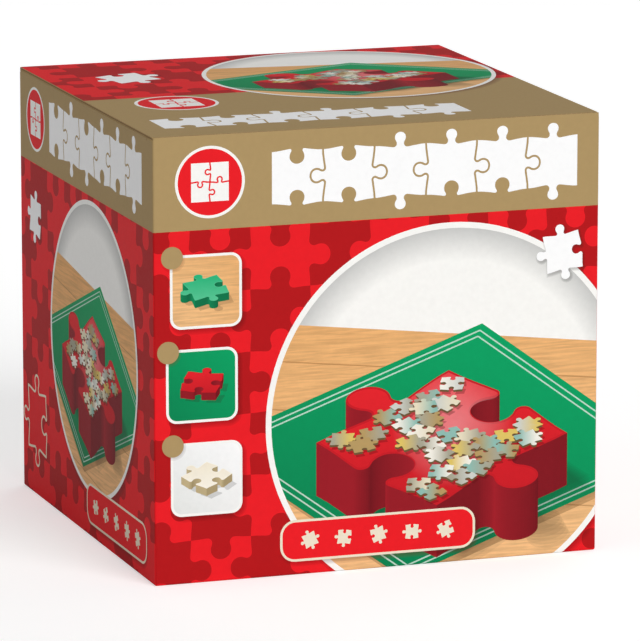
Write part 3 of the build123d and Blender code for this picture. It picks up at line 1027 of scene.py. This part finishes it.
def filleted(corners, radii, steps=8):
    """A polygon with its corners rounded. Each arc is tangent to the two edges that meet there: its
    centre lies r / sin(a) along their bisector, where a is half the angle between them. The arc
    runs evenly between the two tangent points."""
    pieces = []
    for before, here, after, radius in zip(np.roll(corners, 1, 0), corners,
                                           np.roll(corners, -1, 0), radii):
        if radius == 0:
            pieces.append(here[None])
            continue
        to_before = (before - here) / np.linalg.norm(before - here)
        to_after = (after - here) / np.linalg.norm(after - here)
        half_angle = np.arccos(np.clip(to_before @ to_after, -1, 1)) / 2
        middle = (to_before + to_after) / np.linalg.norm(to_before + to_after)
        centre = here + middle * radius / np.sin(half_angle)
        first = here + to_before * radius / np.tan(half_angle) - centre
        last = here + to_after * radius / np.tan(half_angle) - centre
        share = np.linspace(0, 1, steps)[:, None]
        sweep = np.arccos(np.clip(first @ last / radius ** 2, -1, 1))
        arc = (np.sin((1 - share) * sweep) * first + np.sin(share * sweep) * last) / np.sin(sweep)
        pieces.append(centre + arc)
    return np.concatenate(pieces)


dust_inks = [ink(rectangle((-sheet_over, -bleed), (sheet_over, dust_reach + bleed)), paper_white),
             ink(rectangle((-sheet_over, -bleed), (sheet_over, dust_strip)), tan)]
for side, node, body in ((-1, "left_dust_flap", "left_dust"), (1, "right_dust_flap", "right_dust")):
    corners = np.array([(dust_low[1], dust_start), (dust_high[1], dust_start),
                        (dust_rear_end, dust_reach), (dust_front_end, dust_reach)]) * [side, 1]
    outline = filleted(corners[::side], (0, 0, dust_corner, dust_corner)[::side])
    folds = [[(side * dust_low[1], b), (side * dust_high[1], b)]
             for b in np.linspace(bend_end, dust_round, bend_steps + 1)]
    flap = build_sheet(node.replace("_flap", "_board"), outline, folds, dust_inks, dust_wrap(side),
                       board_finish)
    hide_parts(node)
    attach(flap, body)


# ---------------------------------------------------------------------------------------------
# Base and glued flaps. Four flaps close the base, one on another, and a fifth is glued inside the
# back wall. They never move, and stay as they are, in bare kraft, but for the outermost, which is
# printed below: jigsaw cells round a bare white panel.
# ---------------------------------------------------------------------------------------------
def base_wrap(points):
    """The map of the base: flat, with its print facing down, so that back becomes front."""
    across, back = points.T
    outer = np.stack([across, -back, np.zeros_like(across)], 1)
    return outer, np.tile([0.0, 0.0, -1.0], (len(points), 1)), outer + [0.0, 0.0, board]


base_sheet = rectangle((-inner_half, -inner_half), (inner_half, inner_half))
base_field_low = (field_low[0], field_low[0])
base_inks = [ink(rectangle((-sheet_over, -sheet_over), (sheet_over, sheet_over)), red_bright)]
base_inks += jigsaw_field(base_field_low, (sheet_over, sheet_over), cell_size, seed=77)
base_inks += [ink(rounded_box((-62, -40), (62, 40), panel_corner), paper_white)]
base = build_sheet("base", base_sheet, [], base_inks, base_wrap, board_finish)
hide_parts("bottom_outer_flap")
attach(base, "carton")

for node in ("glue_flap", "bottom_inner_flap", "bottom_left_flap", "bottom_right_flap"):
    flap_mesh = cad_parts[node].data
    flap_mesh.materials.clear()
    flap_mesh.materials.append(kraft_liner)


# ---------------------------------------------------------------------------------------------
# Trays. Six alike, injection moulded in red polypropylene, with a foot that drops into the rim of
# the tray below. A fine spark-eroded floor and a smoother satin wall: here one fine texture covers
# both.
# ---------------------------------------------------------------------------------------------
tray_plastic, tree, output = new_material("moulded_red_polypropylene")
# Satin red with a fine matt grain from the mould, which spreads its highlights.
coordinates = add_node(tree, "ShaderNodeTexCoord").outputs["Object"]
spark = add_node(tree, "ShaderNodeTexNoise", Vector=coordinates, Scale=1000.0, Detail=2.0)
cloud = add_node(tree, "ShaderNodeTexNoise", Vector=coordinates, Scale=18.0, Detail=2.0)
tray_rough = add_node(tree, "ShaderNodeMapRange", Value=cloud.outputs[0], To_Min=0.34, To_Max=0.44)
tray_bump = add_node(tree, "ShaderNodeBump", Strength=0.5, Distance=0.00010,
                     Height=spark.outputs[0])
tray_shader = add_node(tree, "ShaderNodeBsdfPrincipled", Base_Color=linear_colour("#c81f2c"),
                       Roughness=tray_rough.outputs[0], IOR=1.49, Normal=tray_bump.outputs[0])
tree.links.new(tray_shader.outputs[0], output.inputs[0])

tray_low, tray_high = (np.array(corner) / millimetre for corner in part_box("tray_1"))
tray_count = 6
rim_half = tray_high[0]
rim_radius = 20.0
rim_steps = 14
level_reach = 60.0           # the section's ends run level towards here; flat caps take their place
tray_height = tray_high[2] - tray_low[2]
# The section from the middle of the underside, round the outside, to the middle of the floor:
# inwards from the rim's outside, height, and the radius of the round there.
tray_section = [(level_reach, 1.2, 0.0), (6.3, 1.2, 0.3), (6.3, 0.0, 0.5), (2.3, 0.0, 0.6),
                (2.3, 3.0, 0.2), (1.0, 3.0, 0.35), (0.0, 17.2, 2.0), (0.0, tray_height, 0.6),
                (1.8, tray_height, 0.6), (1.8, 17.2, 2.0), (4.1, 3.0, 3.0), (level_reach, 3.0, 0.0)]


def section_curve(section, steps=5):
    """Rounds each corner of a section line, but its ends, into an arc tangent to both sides: with b
    the bend, it starts r tan(b / 2) before the corner. Gives each point its normal, away from the
    plastic."""
    line = np.array(section)
    places, normals = [], []
    for before, here, after in zip(line[:-2], line[1:-1], line[2:]):
        go_in = (here[:2] - before[:2]) / np.linalg.norm(here[:2] - before[:2])
        go_out = (after[:2] - here[:2]) / np.linalg.norm(after[:2] - here[:2])
        side_in = np.array([go_in[1], -go_in[0]])
        bend = np.arctan2(go_in[0] * go_out[1] - go_in[1] * go_out[0], go_in @ go_out)
        setback = here[2] * np.tan(abs(bend) / 2)
        centre = here[:2] - go_in * setback - np.sign(bend) * side_in * here[2]
        share = np.linspace(0, bend, steps)[:, None]
        turned = side_in * np.cos(share) + go_in * np.sin(share)
        places.append(centre + np.sign(bend) * here[2] * turned)
        normals.append(-turned)
    return np.concatenate(places), np.concatenate(normals)


def tray_mesh(name, base):
    """A tray: the section carried round a rounded square. Every ring has the same four corner
    centres and a radius of the rim's less its distance inwards. Flat caps close the middle."""
    places, normals = section_curve(tray_section)
    turn = (np.arange(4)[:, None] * np.pi / 2 + np.linspace(0, np.pi / 2, rim_steps)).ravel()
    heading = np.stack([np.cos(turn), np.sin(turn)], 1)
    corners = (rim_half - rim_radius) * np.array([[1, 1], [-1, 1], [-1, -1], [1, -1]])
    corners = np.repeat(corners, rim_steps, 0)
    flat = corners[None] + (rim_radius - places[:, 0])[:, None, None] * heading[None]
    high = np.broadcast_to((base + places[:, 1])[:, None, None], flat.shape[:2] + (1,))
    points = np.concatenate([flat, high], 2)
    tilt = np.concatenate([-normals[:, 0][:, None, None] * heading[None],
                           np.broadcast_to(normals[:, 1][:, None, None], high.shape)], 2)
    rings, around = points.shape[:2]
    index = np.arange(rings * around).reshape(rings, around)
    nearby = np.roll(index, -1, 1)
    quads = np.stack([index[:-1], nearby[:-1], nearby[1:], index[1:]], 2).reshape(-1, 4)
    faces = quads.tolist() + [index[0, ::-1].tolist(), index[-1].tolist()]
    mesh = bpy.data.meshes.new(name)
    mesh.from_pydata((points.reshape(-1, 3) * millimetre).tolist(), [], faces)
    mesh.polygons.foreach_set("use_smooth", np.ones(len(faces), bool))
    mesh.normals_split_custom_set_from_vertices(tilt.reshape(-1, 3).tolist())
    mesh.materials.append(tray_plastic)
    return mesh


for number in range(1, tray_count + 1):
    node = f"tray_{number}"
    name = f"moulded_tray_{number}"
    tray = bpy.data.objects.new(name, tray_mesh(name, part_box(node)[0][2] / millimetre))
    bpy.context.scene.collection.objects.link(tray)
    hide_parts(node)
    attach(tray, node + "_body")
